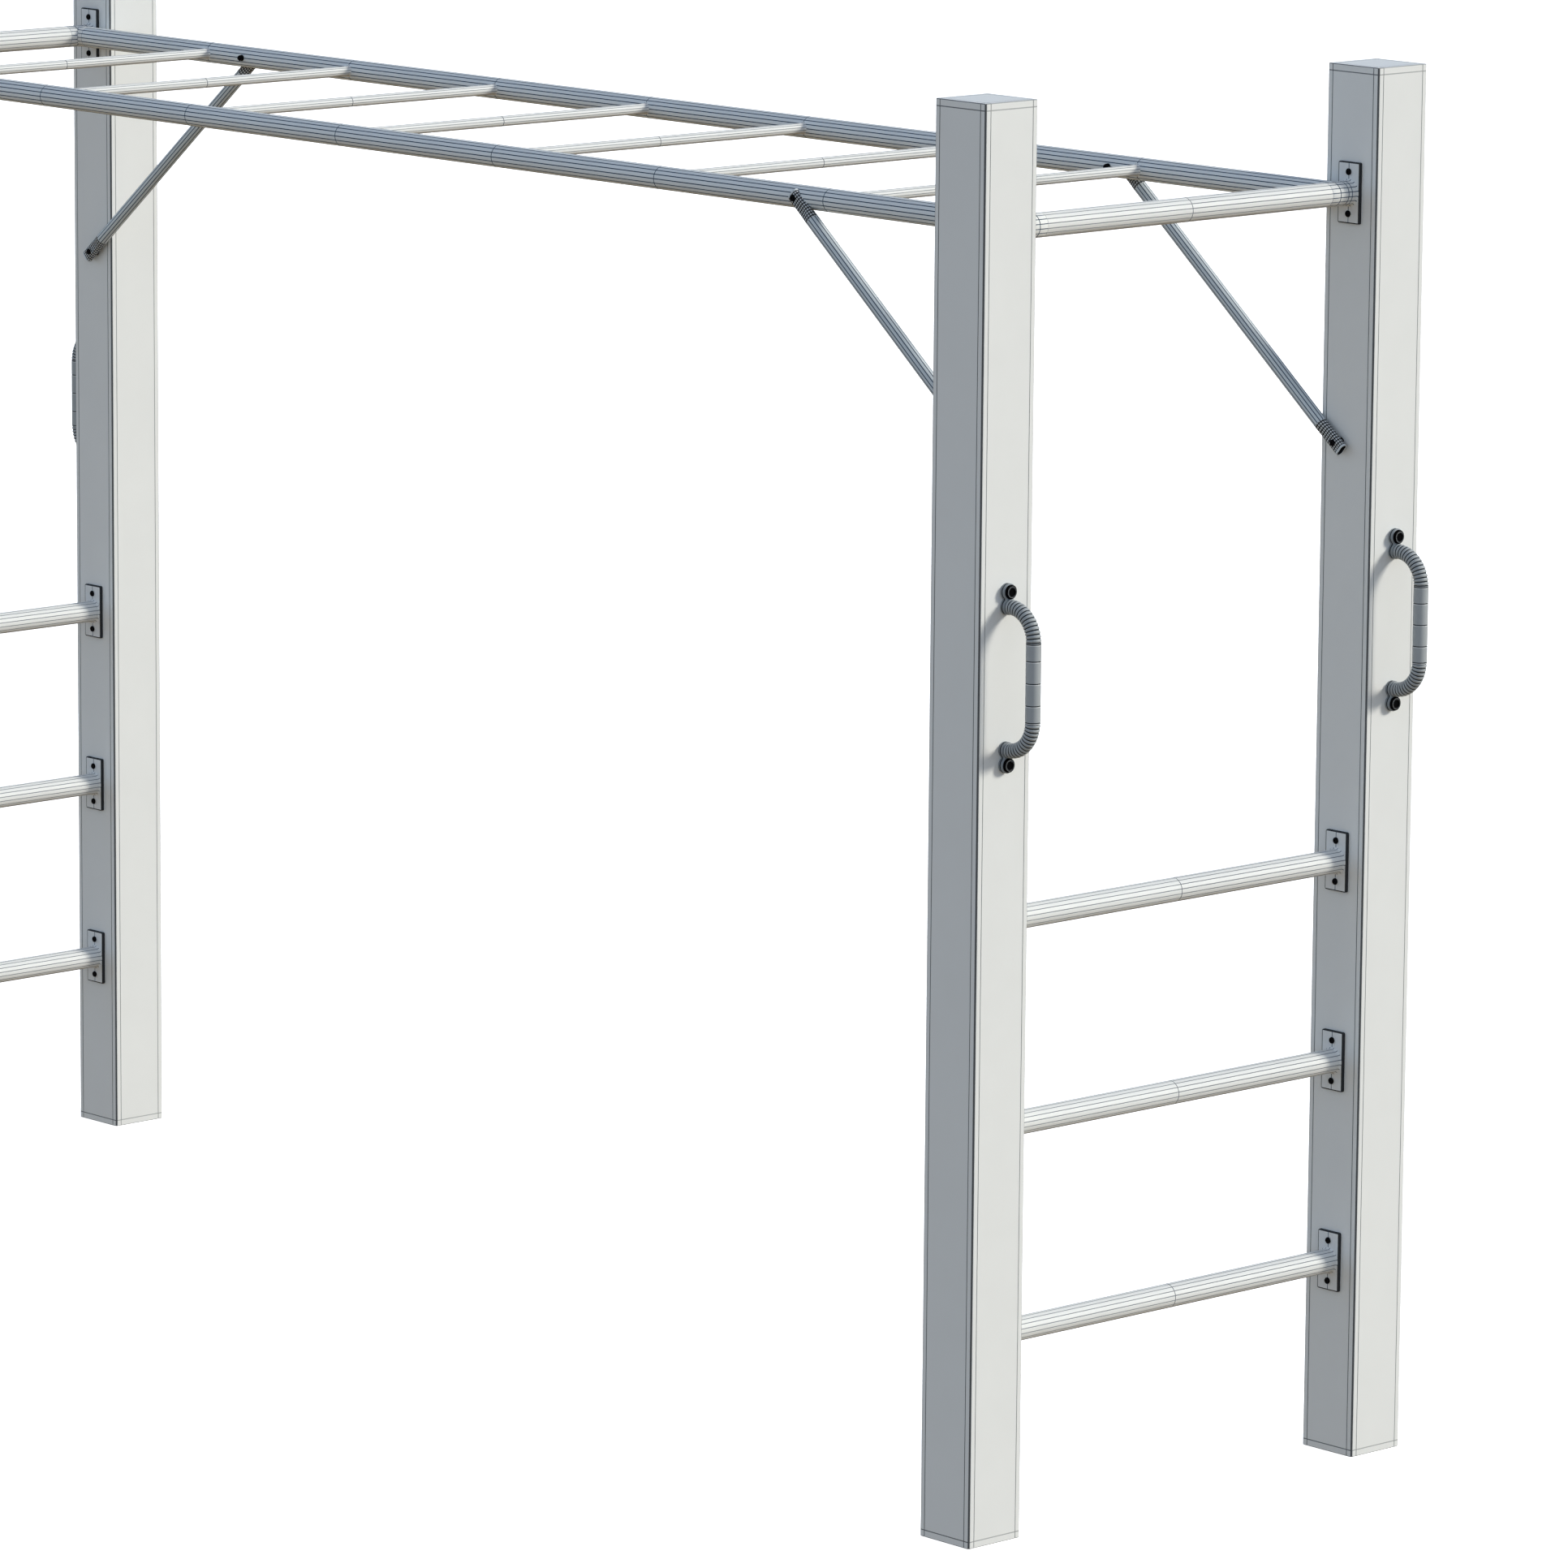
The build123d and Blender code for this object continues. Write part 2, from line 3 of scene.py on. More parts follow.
import bmesh
import bpy
from mathutils import Matrix, Vector


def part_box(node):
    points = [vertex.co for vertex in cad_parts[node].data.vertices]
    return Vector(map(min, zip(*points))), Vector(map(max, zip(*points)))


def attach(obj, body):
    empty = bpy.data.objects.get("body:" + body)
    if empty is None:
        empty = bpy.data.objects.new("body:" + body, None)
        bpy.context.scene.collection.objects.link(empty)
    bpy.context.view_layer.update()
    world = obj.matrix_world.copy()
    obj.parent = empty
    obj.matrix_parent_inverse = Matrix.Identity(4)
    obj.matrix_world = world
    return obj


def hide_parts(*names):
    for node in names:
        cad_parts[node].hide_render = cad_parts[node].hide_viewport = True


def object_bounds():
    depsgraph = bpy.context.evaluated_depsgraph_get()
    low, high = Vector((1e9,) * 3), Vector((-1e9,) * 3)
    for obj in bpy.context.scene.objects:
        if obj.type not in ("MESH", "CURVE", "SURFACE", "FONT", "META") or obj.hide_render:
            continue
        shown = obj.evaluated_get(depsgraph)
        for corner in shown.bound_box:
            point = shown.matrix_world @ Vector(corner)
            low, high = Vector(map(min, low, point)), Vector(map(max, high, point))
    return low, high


# Free-standing monkey bars. Everything is in metres, in the CAD frame:
# X along the bars, Y across them, Z up, front at -Y, right at +X.
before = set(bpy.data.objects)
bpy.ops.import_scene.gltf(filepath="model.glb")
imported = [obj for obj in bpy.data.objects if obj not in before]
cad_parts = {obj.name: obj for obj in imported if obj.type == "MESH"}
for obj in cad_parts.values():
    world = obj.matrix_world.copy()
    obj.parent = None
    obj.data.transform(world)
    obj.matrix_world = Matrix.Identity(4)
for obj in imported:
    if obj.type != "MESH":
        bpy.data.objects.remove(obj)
cad_low, cad_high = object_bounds()

MM = 0.001
SIDES = {"front": -1, "rear": 1}
ENDS = {"left": -1, "right": 1}
CORNERS = [(side, end) for side in SIDES for end in ENDS]
X, Y, Z = Vector((1, 0, 0)), Vector((0, 1, 0)), Vector((0, 0, 1))
BODY, DARK, ACCENT = 0, 1, 2    # a face's place in its piece's list of materials


# ---- places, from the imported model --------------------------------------
def centre(node):
    low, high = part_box(node)
    return (low + high) / 2


def span(node):
    low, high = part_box(node)
    return high - low


POST_X = centre("post_front_right").x
POST_Y = centre("post_rear_right").y
HALF_POST = span("post_front_right").x / 2
INNER_Y = POST_Y - HALF_POST
FACE_X = POST_X + HALF_POST
TOP_LEVEL = centre("end_tube_right").z
RAIL_Y = centre("side_rail_rear").y
RAIL_R = span("side_rail_rear").z / 2
TUBE_R = span("end_tube_right").z / 2
RUNG_R = span("overhead_rung_1").x / 2
RAIL_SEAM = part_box("side_rail_rear")[1].x          # where the rails and the end tubes
TUBE_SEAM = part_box("end_tube_right")[1].y          # meet the corner tees
PLATE_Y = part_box("ladder_rung_right_low")[1].y     # front of the mounting plates
PLATE_HALF_WIDTH = span("mounting_plates_front_right").x / 2
RUNG_XS = [centre(f"overhead_rung_{n}").x for n in range(1, 8)]
LEVELS = [centre(f"ladder_rung_right_{name}").z for name in ("low", "middle", "high")]
PLATE_HALF_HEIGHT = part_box("mounting_plates_front_right")[1].z - TOP_LEVEL
FOOT_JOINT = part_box("post_front_right")[0].z    # height of the joint between a foot and its post


# ---- materials ----------------------------------------------------------
def node_maker(name):
    material = bpy.data.materials.new(name)
    material.use_nodes = True
    tree = material.node_tree
    shader = tree.nodes["Principled BSDF"]

    def add(kind, **values):
        node = tree.nodes.new(kind)
        for key, value in values.items():
            if key in node.inputs:
                node.inputs[key].default_value = value
            else:
                setattr(node, key, value)
        return node

    def link(source, target):
        tree.links.new(source, target)

    return material, shader, add, link


def noise(add, link, place, scale, detail=2.0, rough=0.5):
    node = add("ShaderNodeTexNoise", Scale=scale, Detail=detail, Roughness=rough)
    link(place, node.inputs["Vector"])
    return node.outputs["Fac"]


def remap(add, link, value, low, high, start=0.3, stop=0.7):
    node = add("ShaderNodeMapRange")
    node.inputs["From Min"].default_value = start
    node.inputs["From Max"].default_value = stop
    node.inputs["To Min"].default_value = low
    node.inputs["To Max"].default_value = high
    link(value, node.inputs["Value"])
    return node.outputs["Result"]


def blend(add, link, factor, first, second):
    """Colour mix; first and second are colours or sockets."""
    node = add("ShaderNodeMix", data_type="RGBA")
    link(factor, node.inputs[0])
    for socket, value in ((node.inputs[6], first), (node.inputs[7], second)):
        if isinstance(value, tuple):
            socket.default_value = (*value, 1)
        else:
            link(value, socket)
    return node.outputs[2]


def math_node(add, link, operation, first, second=0.0):
    node = add("ShaderNodeMath", operation=operation)
    for socket, value in ((node.inputs[0], first), (node.inputs[1], second)):
        if isinstance(value, (int, float)):
            socket.default_value = value
        else:
            link(value, socket)
    return node.outputs[0]


def tinted(colour, factor):
    return tuple(min(1.0, c * factor) for c in colour)


# Noise scales, in features per metre.
DRIFT, SMUDGE, RUB, SPECK = 7.0, 28.0, 90.0, 260.0


def finish(name, colour, rough, peel=0.25, mottle=0.03, grain=900.0,
           wear=None, metal=0.0, gloss=0.5, lines=None):
    """Painted, moulded or plated surface.

    peel is the strength of the fine surface texture, grain its scale, mottle
    the share by which the colour drifts, wear the colour that rubbed edges
    take, metal how metallic it is, gloss its specular level, and lines a
    function that adds the joints and grooves to the colour.
    """
    material, shader, add, link = node_maker(name)
    place = add("ShaderNodeTexCoord").outputs["Object"]
    # Colour: a slow drift between two tones, with fine flecks.
    drift = noise(add, link, place, DRIFT, 4.0, 0.6)
    speck = noise(add, link, place, SPECK, 3.0, 0.7)
    broad = remap(add, link, drift, 0.0, 1.0)
    tone = blend(add, link, broad, tinted(colour, 1 - mottle), tinted(colour, 1 + mottle))
    fleck = remap(add, link, speck, 0.0, 0.35, 0.62, 0.8)
    tone = blend(add, link, fleck, tone, tinted(colour, 1 - 3 * mottle))
    if wear:
        # Where the surface turns within a millimetre, patches are rubbed to the wear colour.
        rounded = add("ShaderNodeBevel", samples=4, Radius=0.9 * MM)
        plain = add("ShaderNodeNewGeometry").outputs["Normal"]
        dot = add("ShaderNodeVectorMath", operation="DOT_PRODUCT")
        link(rounded.outputs["Normal"], dot.inputs[0])
        link(plain, dot.inputs[1])
        edge = remap(add, link, dot.outputs["Value"], 1.0, 0.0, 0.80, 0.97)
        patch = remap(add, link, noise(add, link, place, RUB, 4.0, 0.7), 0.0, 0.6, 0.45, 0.65)
        rubbed = math_node(add, link, "MULTIPLY", edge, patch)
        tone = blend(add, link, rubbed, tone, wear)
    if lines:
        tone = lines(add, link, place, tone)
    link(tone, shader.inputs["Base Color"])
    # Roughness: broad smudges. Relief: a soft orange peel under a finer grain.
    smudge = noise(add, link, place, SMUDGE, 5.0, 0.65)
    link(remap(add, link, smudge, rough - 0.07, rough + 0.07), shader.inputs["Roughness"])
    wave = add("ShaderNodeBump", Strength=peel * 0.5, Distance=0.6 * MM)
    link(noise(add, link, place, grain / 9, 2.0), wave.inputs["Height"])
    fine = add("ShaderNodeBump", Strength=peel, Distance=0.12 * MM)
    link(noise(add, link, place, grain, 2.0), fine.inputs["Height"])
    link(wave.outputs["Normal"], fine.inputs["Normal"])
    link(fine.outputs["Normal"], shader.inputs["Normal"])
    shader.inputs["Metallic"].default_value = metal
    shader.inputs["Specular IOR Level"].default_value = gloss
    return material


PAINT = (0.775, 0.78, 0.765)
GROOVE = (0.17, 0.18, 0.19)
# The paler groove colour for the sides along X, which face the key light: painted light.
GROOVE_PAINTED_LIT = (0.40, 0.41, 0.41)
FOLD = (0.10, 0.105, 0.11)
GROOVE_INSET = 10 * MM       # from a post's side to the groove's middle
GROOVE_HALF = 0.7 * MM
JOINT_HALF = 0.75 * MM
ON_FACE = 0.6 * MM           # nearer to the side than this counts as on it
EDGE_WIDTH = 1.1 * MM        # dark edge round the two ends of a post
FOLD_REACH = 2.75 * MM       # across the rounded corner, summed over both sides


def line_at(add, link, value, middle, half_width):
    """1 inside half_width of middle, 0 outside."""
    node = math_node(add, link, "SUBTRACT", value, middle)
    node = math_node(add, link, "ABSOLUTE", node)
    return math_node(add, link, "LESS_THAN", node, half_width)


def post_lines(add, link, place, tone):
    """The fine groove near each corner, the folded corner and the end joints."""
    split = add("ShaderNodeSeparateXYZ")
    link(place, split.inputs[0])
    across = []
    for axis, middle in (("X", POST_X), ("Y", POST_Y)):
        node = math_node(add, link, "ABSOLUTE", split.outputs[axis])
        node = math_node(add, link, "SUBTRACT", node, middle)
        across.append(math_node(add, link, "ABSOLUTE", node))
    groove = math_node(
        add, link, "MAXIMUM",
        line_at(add, link, across[0], HALF_POST - GROOVE_INSET, GROOVE_HALF),
        line_at(add, link, across[1], HALF_POST - GROOVE_INSET, GROOVE_HALF),
    )
    # The sides that look along X are the brighter, lit ones, so their lines are painted paler:
    # painted light.
    lit_side_mask = math_node(add, link, "GREATER_THAN", across[0], HALF_POST - ON_FACE)
    fine = blend(add, link, lit_side_mask, GROOVE, GROOVE_PAINTED_LIT)
    tone = blend(add, link, groove, tone, fine)
    joints = math_node(
        add, link, "MAXIMUM",
        line_at(add, link, split.outputs["Z"], FOOT_JOINT, JOINT_HALF),
        line_at(add, link, split.outputs["Z"], cad_high.z - FOOT_JOINT, JOINT_HALF),
    )
    outer = math_node(add, link, "MAXIMUM", across[0], across[1])
    rim = math_node(
        add, link, "MULTIPLY",
        math_node(add, link, "GREATER_THAN", outer, HALF_POST - EDGE_WIDTH),
        math_node(
            add, link, "MAXIMUM",
            math_node(add, link, "GREATER_THAN", split.outputs["Z"], cad_high.z - EDGE_WIDTH),
            math_node(add, link, "LESS_THAN", split.outputs["Z"], cad_low.z + EDGE_WIDTH),
        ),
    )
    tone = blend(add, link, math_node(add, link, "MAXIMUM", joints, rim), tone, fine)
    reach = math_node(add, link, "ADD", across[0], across[1])
    corner = math_node(add, link, "GREATER_THAN", reach, 2 * HALF_POST - FOLD_REACH)
    return blend(add, link, corner, tone, FOLD)


post_paint = finish(
    "post_powder_coat", PAINT, 0.46,
    peel=0.22, mottle=0.012, gloss=0.4, lines=post_lines,
)
tube_paint = finish(
    "tube_powder_coat", PAINT, 0.58,
    peel=0.16, mottle=0.015, grain=1100, gloss=0.3,
)
# The rails' paint is a bluer, darker copy of the tube paint: painted shade.
rail_paint_shaded_copy = finish(
    "rail_coat_painted_shade", (0.755, 0.79, 0.80), 0.58,
    peel=0.16, mottle=0.015, grain=1100, gloss=0.3,
)
# The braces' paint is a darker, bluer copy of the tube paint: painted shade.
brace_paint_shaded_copy = finish(
    "brace_coat_painted_shade", (0.63, 0.675, 0.70), 0.55,
    peel=0.16, mottle=0.02, grain=1100, gloss=0.3,
)
# Lit and shaded copies of the seam colour: seam_dark is painted shade, seam_light painted light.
seam_dark = finish("seam_dark", (0.06, 0.095, 0.14), 0.7, peel=0.1, mottle=0.05, gloss=0.2)
seam_light = finish("seam_light", (0.24, 0.26, 0.28), 0.7, peel=0.1, mottle=0.05, gloss=0.2)
plate_paint = finish(
    "plate_powder_coat", (0.74, 0.745, 0.735), 0.5,
    peel=0.2, mottle=0.02, gloss=0.35,
)
plate_edge = finish("plate_edge", (0.03, 0.032, 0.035), 0.6, peel=0.2, mottle=0.08, gloss=0.2)
brace_dark = finish(
    "brace_end_plastic", (0.58, 0.60, 0.605), 0.5,
    peel=0.2, mottle=0.06, gloss=0.3,
)
# Near black for the sleeves' grooves, and as painted shade inside their mouths.
brace_groove_and_mouth_shade = finish(
    "brace_end_groove_and_mouth_shade", (0.02, 0.022, 0.025), 0.7,
    peel=0.1, mottle=0.05, gloss=0.1,
)
grip_plastic = finish(
    "handle_plastic", (0.36, 0.385, 0.40), 0.5,
    peel=0.3, mottle=0.05, grain=1400, gloss=0.35,
)
grip_groove = finish("handle_groove", (0.022, 0.027, 0.032), 0.7, peel=0.2, mottle=0.05, gloss=0.1)
# The pale band beside each grip ring is a painted highlight.
grip_painted_highlight = finish("handle_ring_painted_highlight", (0.62, 0.64, 0.65), 0.5, peel=0.2, mottle=0.05, gloss=0.35)
foot_plastic = finish(
    "handle_foot_plastic", (0.25, 0.275, 0.295), 0.5,
    peel=0.3, mottle=0.05, grain=1400, gloss=0.3,
)
cap_black = finish("cap_black", (0.003, 0.003, 0.0035), 0.7, peel=0.15, mottle=0.1, gloss=0.01)
# The caps' lighter grey rings are a painted highlight on the ring line.
cap_ring_painted_highlight = finish("cap_ring_painted_highlight", (0.16, 0.17, 0.18), 0.6, peel=0.15, mottle=0.1, gloss=0.2)
steel_black = finish(
    "black_steel", (0.004, 0.004, 0.005), 0.6,
    peel=0.12, mottle=0.1, gloss=0.04, wear=(0.04, 0.04, 0.04),
)
zinc = finish("zinc_plate", (0.55, 0.56, 0.57), 0.35, peel=0.2, mottle=0.08, metal=1.0)


# ---- mesh building ------------------------------------------------------
def piece(name, bm, materials, nodes, angle=35.0):
    """Turns bm into an object that rides with the frame and stands for the CAD nodes."""
    bmesh.ops.recalc_face_normals(bm, faces=bm.faces)
    mesh = bpy.data.meshes.new(name)
    bm.to_mesh(mesh)
    bm.free()
    mesh.polygons.foreach_set("use_smooth", [True] * len(mesh.polygons))
    mesh.set_sharp_from_angle(angle=math.radians(angle))
    for material in materials:
        mesh.materials.append(material)
    made = bpy.data.objects.new(name, mesh)
    bpy.context.scene.collection.objects.link(made)
    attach(made, "root")
    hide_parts(*nodes)


def skin(bm, rings, segments, bands):
    """Closed skin over rings of points.

    segments[j] and bands[i] are material indexes, and a face takes the
    higher of its two.
    """
    rows = [[bm.verts.new(point) for point in ring] for ring in rings]
    count = len(rows[0])
    for i in range(len(rows) - 1):
        for j in range(count):
            k = (j + 1) % count
            face = bm.faces.new((rows[i][j], rows[i][k], rows[i + 1][k], rows[i + 1][j]))
            face.material_index = max(segments[j], bands[i])
    for row in (rows[0], rows[-1]):
        bm.faces.new(row)
    return rows


FLUTE = 1.25 * MM


def fluted(count, radius, width=FLUTE, turn=0.5):
    """Angles round a tube with narrow lengthwise grooves, and the material of each step.

    An angle is (angle, depth share). turn moves the grooves round the tube,
    by that share of their pitch.
    """
    angles, segments = [], []
    steps = 3
    half = width / 2 / radius
    floor = half * 0.45
    for n in range(count):
        middle = 2 * math.pi * (n + turn) / count
        after = 2 * math.pi * (n + 1 + turn) / count
        angles += [(middle - half, 0), (middle - floor, 1), (middle + floor, 1), (middle + half, 0)]
        segments += [DARK] * 3 + [BODY]
        start, stop = middle + half, after - half
        for step in range(1, steps + 1):
            angles.append((start + (stop - start) * step / (steps + 1), 0))
            segments.append(BODY)
    return angles, segments


def plain_circle(count):
    """Angles round a tube with no grooves."""
    return [(2 * math.pi * n / count, 0) for n in range(count)]


def circle_ring(origin, u, v, angles, radius, depth, slide=None, along=None):
    """Ring of points round origin in the plane of u and v.

    slide gives how far a point moves along, from its place on u.
    """
    points = []
    for angle, share in angles:
        r = radius - depth * share
        a, b = r * math.cos(angle), r * math.sin(angle)
        point = origin + u * a + v * b
        if slide:
            point = point + along * slide(a)
        points.append(point)
    return points


SEAM_WIDTH = 1.4 * MM
SEAM_DEPTH = 0.35 * MM
# A weld fillet, as (distance from the tube's end, extra radius), in millimetres.
WELD = ((3.2, 0.0), (2.3, 0.12), (1.5, 0.42), (0.8, 0.95), (0.3, 1.6), (0.0, 2.2))
WELD_RUNOUT = 0.4 * MM       # over which the flutes begin, past a weld
COPE_REACH = 4.2 * MM        # the rings nearer to a coped end than this follow its cut


def tube_stations(length, seams, weld_start, weld_end, share=1.0):
    """(distance, extra radius, groove share, band) along a tube; share scales its welds."""
    stations = []
    weld = [(d * MM * share, e * MM * share) for d, e in WELD]
    if weld_start:
        stations += [(d, e, 0.0, BODY) for d, e in reversed(weld)]
        stations.append((weld[0][0] + WELD_RUNOUT, 0.0, 1.0, BODY))
    else:
        stations.append((0.0, 0.0, 1.0, BODY))
    for seam in sorted(seams):
        stations += [
            (seam - SEAM_WIDTH / 2, 0.0, 1.0, DARK),
            (seam - SEAM_WIDTH / 4, -SEAM_DEPTH, 1.0, DARK),
            (seam + SEAM_WIDTH / 4, -SEAM_DEPTH, 1.0, DARK),
            (seam + SEAM_WIDTH / 2, 0.0, 1.0, BODY),
        ]
    if weld_end:
        stations.append((length - weld[0][0] - WELD_RUNOUT, 0.0, 1.0, BODY))
        stations += [(length - d, e, 0.0, BODY) for d, e in weld]
    else:
        stations.append((length, 0.0, 1.0, BODY))
    return stations


def straight_tube(name, start, stop, radius, flutes, seams, node, welded=False,
                  cope=None, share=1.0, width=FLUTE, paints=(tube_paint, seam_light), turn=0.5):
    """Fluted tube with ring seams, and weld fillets and coped ends where asked for."""
    along = (stop - start).normalized()
    u = Z if abs(along.z) < 0.5 else Y.cross(along).normalized()
    v = along.cross(u)
    length = (stop - start).length
    angles, segments = fluted(flutes, radius, width, turn=turn)
    rings, bands = [], []
    for distance, extra, groove, band in tube_stations(length, seams, welded, welded, share):
        from_end = min(distance, length - distance)
        rings.append(circle_ring(
            start + along * distance, u, v, angles, radius + extra, SEAM_DEPTH * groove,
            cope if from_end < COPE_REACH else None,
            along if distance < length / 2 else -along,
        ))
        bands.append(band)
    bm = bmesh.new()
    skin(bm, rings, segments, bands)
    piece(name, bm, paints, [node])


# ---- overhead frame -----------------------------------------------------
TUBE_FLUTES = 16
THIN_FLUTES = 12             # on the overhead rungs and the braces
RUNG_SINK = 0.2 * MM         # a rung's end goes this far into its rail


def onto_rail(a):
    """Slide of a point at height a so that it lies on the rail that a rung meets."""
    radius = RAIL_R - RUNG_SINK
    return math.sqrt(max(radius * radius - a * a, 0.0)) - radius


for side, s in SIDES.items():
    straight_tube(
        f"rail_{side}",
        Vector((-RAIL_SEAM, s * RAIL_Y, TOP_LEVEL)), Vector((RAIL_SEAM, s * RAIL_Y, TOP_LEVEL)),
        RAIL_R, TUBE_FLUTES, [x + RAIL_SEAM for x in RUNG_XS],
        f"side_rail_{side}",
        # The rails take the shaded copies of the paint and the seam colour: painted shade.
        width=1.5 * MM, paints=(rail_paint_shaded_copy, seam_dark), turn=0.0,
    )

for end, e in ENDS.items():
    straight_tube(
        f"end_bar_{end}",
        Vector((e * POST_X, -TUBE_SEAM, TOP_LEVEL)), Vector((e * POST_X, TUBE_SEAM, TOP_LEVEL)),
        TUBE_R, TUBE_FLUTES, [TUBE_SEAM], f"end_tube_{end}",
    )

for index, x in enumerate(RUNG_XS, start=1):
    reach = RAIL_Y - RAIL_R
    straight_tube(
        f"bar_{index}", Vector((x, -reach, TOP_LEVEL)), Vector((x, reach, TOP_LEVEL)),
        RUNG_R, THIN_FLUTES, [reach], f"overhead_rung_{index}",
        welded=True, cope=onto_rail, share=0.7, width=0.9 * MM,
    )

for end, e in ENDS.items():
    for name, level in zip(("low", "middle", "high"), LEVELS):
        straight_tube(
            f"step_{end}_{name}",
            Vector((e * POST_X, -PLATE_Y, level)), Vector((e * POST_X, PLATE_Y, level)),
            TUBE_R, TUBE_FLUTES, [PLATE_Y], f"ladder_rung_{end}_{name}",
            welded=True,
        )


TEE_RINGS = (10 * MM, 17 * MM, 33 * MM)    # ring seams, from the plate
TEE_RIM = 0.5 * MM                         # chamfer at a tee's open ends
SADDLE_SINK = 0.3 * MM                     # the arm goes this far into the run
SADDLE_LINE = 0.9 * MM                     # dark line where they join


def corner_tee(side, end):
    """Tee at a corner: its run goes from the plate to the end tube, its arm to the rail."""
    s, e = SIDES[side], ENDS[end]
    bm = bmesh.new()

    origin = Vector((e * POST_X, s * PLATE_Y, TOP_LEVEL))
    along = Vector((0, -s, 0))
    v = along.cross(Z)
    length = PLATE_Y - TUBE_SEAM
    angles, segments = fluted(TUBE_FLUTES, TUBE_R)
    stations = tube_stations(length, TEE_RINGS, True, False)[:-1]
    stations += [(length - TEE_RIM, 0.0, 1.0, DARK), (length, -SEAM_DEPTH, 1.0, BODY)]
    rings = [
        circle_ring(origin + along * distance, Z, v, angles, TUBE_R + extra, SEAM_DEPTH * groove)
        for distance, extra, groove, _ in stations
    ]
    skin(bm, rings, segments, [band for *_, band in stations])

    origin = Vector((e * POST_X, s * RAIL_Y, TOP_LEVEL))
    along = Vector((-e, 0, 0))
    v = along.cross(Z)
    length = POST_X - RAIL_SEAM
    angles, segments = fluted(TUBE_FLUTES, RAIL_R, turn=0.0)
    saddle = TUBE_R - SADDLE_SINK
    rings = []
    for line in (0.0, SADDLE_LINE):
        ring = circle_ring(origin, Z, v, angles, RAIL_R, SEAM_DEPTH)
        rings.append([
            p + along * (math.sqrt(saddle ** 2 - (p.z - TOP_LEVEL) ** 2) + line) for p in ring
        ])
    for distance, extra in ((length - TEE_RIM, 0.0), (length, -SEAM_DEPTH)):
        rings.append(circle_ring(
            origin + along * distance, Z, v, angles, RAIL_R + extra, SEAM_DEPTH,
        ))
    skin(bm, rings, segments, [DARK, BODY, DARK, BODY])
    piece(
        # The tee's seams take seam_dark: painted shade, where the post shades the tee.
        f"tee_{side}_{end}", bm, [tube_paint, seam_dark],
        [f"corner_tee_{side}_{end}"],
    )


for side, end in CORNERS:
    corner_tee(side, end)


# ---- mounting plates ----------------------------------------------------
def rounded_outline(width, height, radius, inset):
    """Outline of a rounded rectangle, drawn in by inset."""
    steps = 5
    half_w, half_h = width / 2 - inset, height / 2 - inset
    r = max(radius - inset, 0.15 * MM)
    points = []
    for sx, sz, turn in ((1, 1, 0), (-1, 1, 90), (-1, -1, 180), (1, -1, 270)):
        for step in range(steps + 1):
            angle = math.radians(turn + 90 * step / steps)
            points.append((
                sx * (half_w - r) + r * math.cos(angle), sz * (half_h - r) + r * math.sin(angle),
            ))
    return points


PLATE_ROLL = 1.3 * MM        # radius of the rolled edge
PLATE_CORNER = 2.5 * MM
SCRIBE_HALF = 0.6 * MM
SCRIBE_DEPTH = 0.25 * MM


def plates(side, end):
    """Four plates on a post's inner face, each with a rolled edge and a scribed centre line."""
    s, e = SIDES[side], ENDS[end]
    bm = bmesh.new()
    thick = INNER_Y - PLATE_Y
    profile = [(0.0, 0.0), (0.0, thick - PLATE_ROLL)]
    for t in (22.5, 45, 67.5, 90):
        t = math.radians(t)
        profile.append((
            PLATE_ROLL * (1 - math.cos(t)), thick - PLATE_ROLL + PLATE_ROLL * math.sin(t),
        ))
    profile.append((PLATE_ROLL + 0.5 * MM, thick))
    front = s * (INNER_Y - thick)
    for level in (*LEVELS, TOP_LEVEL):
        rings = []
        for inset, rise in profile:
            outline = rounded_outline(
                2 * PLATE_HALF_WIDTH, 2 * PLATE_HALF_HEIGHT, PLATE_CORNER, inset,
            )
            rings.append([
                Vector((e * POST_X + a, s * (INNER_Y - rise), level + b)) for a, b in outline
            ])
        skin(bm, rings, [BODY] * len(rings[0]), [DARK] * (len(rings) - 1))
        # Three cuts up the plate give the scribed line its two edges and its floor.
        for offset in (-SCRIBE_HALF, 0.0, SCRIBE_HALF):
            faces = [
                f for f in bm.faces
                if abs(f.calc_center_median().z - level) < PLATE_HALF_HEIGHT
            ]
            parts = {v for f in faces for v in f.verts} | {x for f in faces for x in f.edges}
            bmesh.ops.bisect_plane(
                bm, geom=faces + list(parts),
                plane_co=Vector((e * POST_X + offset, 0, 0)), plane_no=X,
            )
        for vert in bm.verts:
            on_floor = abs(vert.co.x - e * POST_X) < 0.05 * MM
            on_front = abs(vert.co.y - front) < 0.01 * MM
            if on_floor and on_front and abs(vert.co.z - level) < PLATE_HALF_HEIGHT:
                vert.co.y += s * SCRIBE_DEPTH
        for f in bm.faces:
            middle = f.calc_center_median()
            across = abs(middle.x - e * POST_X) < SCRIBE_HALF + 0.01 * MM
            on_front = abs(middle.y - front) < SCRIBE_DEPTH + 0.05 * MM
            if across and on_front and abs(middle.z - level) < PLATE_HALF_HEIGHT - PLATE_ROLL:
                f.material_index = ACCENT
    piece(
        f"plates_{side}_{end}", bm, [plate_paint, plate_edge, seam_dark],
        [f"mounting_plates_{side}_{end}"],
    )


for side, end in CORNERS:
    plates(side, end)


# ---- corner braces ------------------------------------------------------
BRACE_Y = centre("brace_rear_right").y
BRACE_R = span("brace_rear_right").y / 2
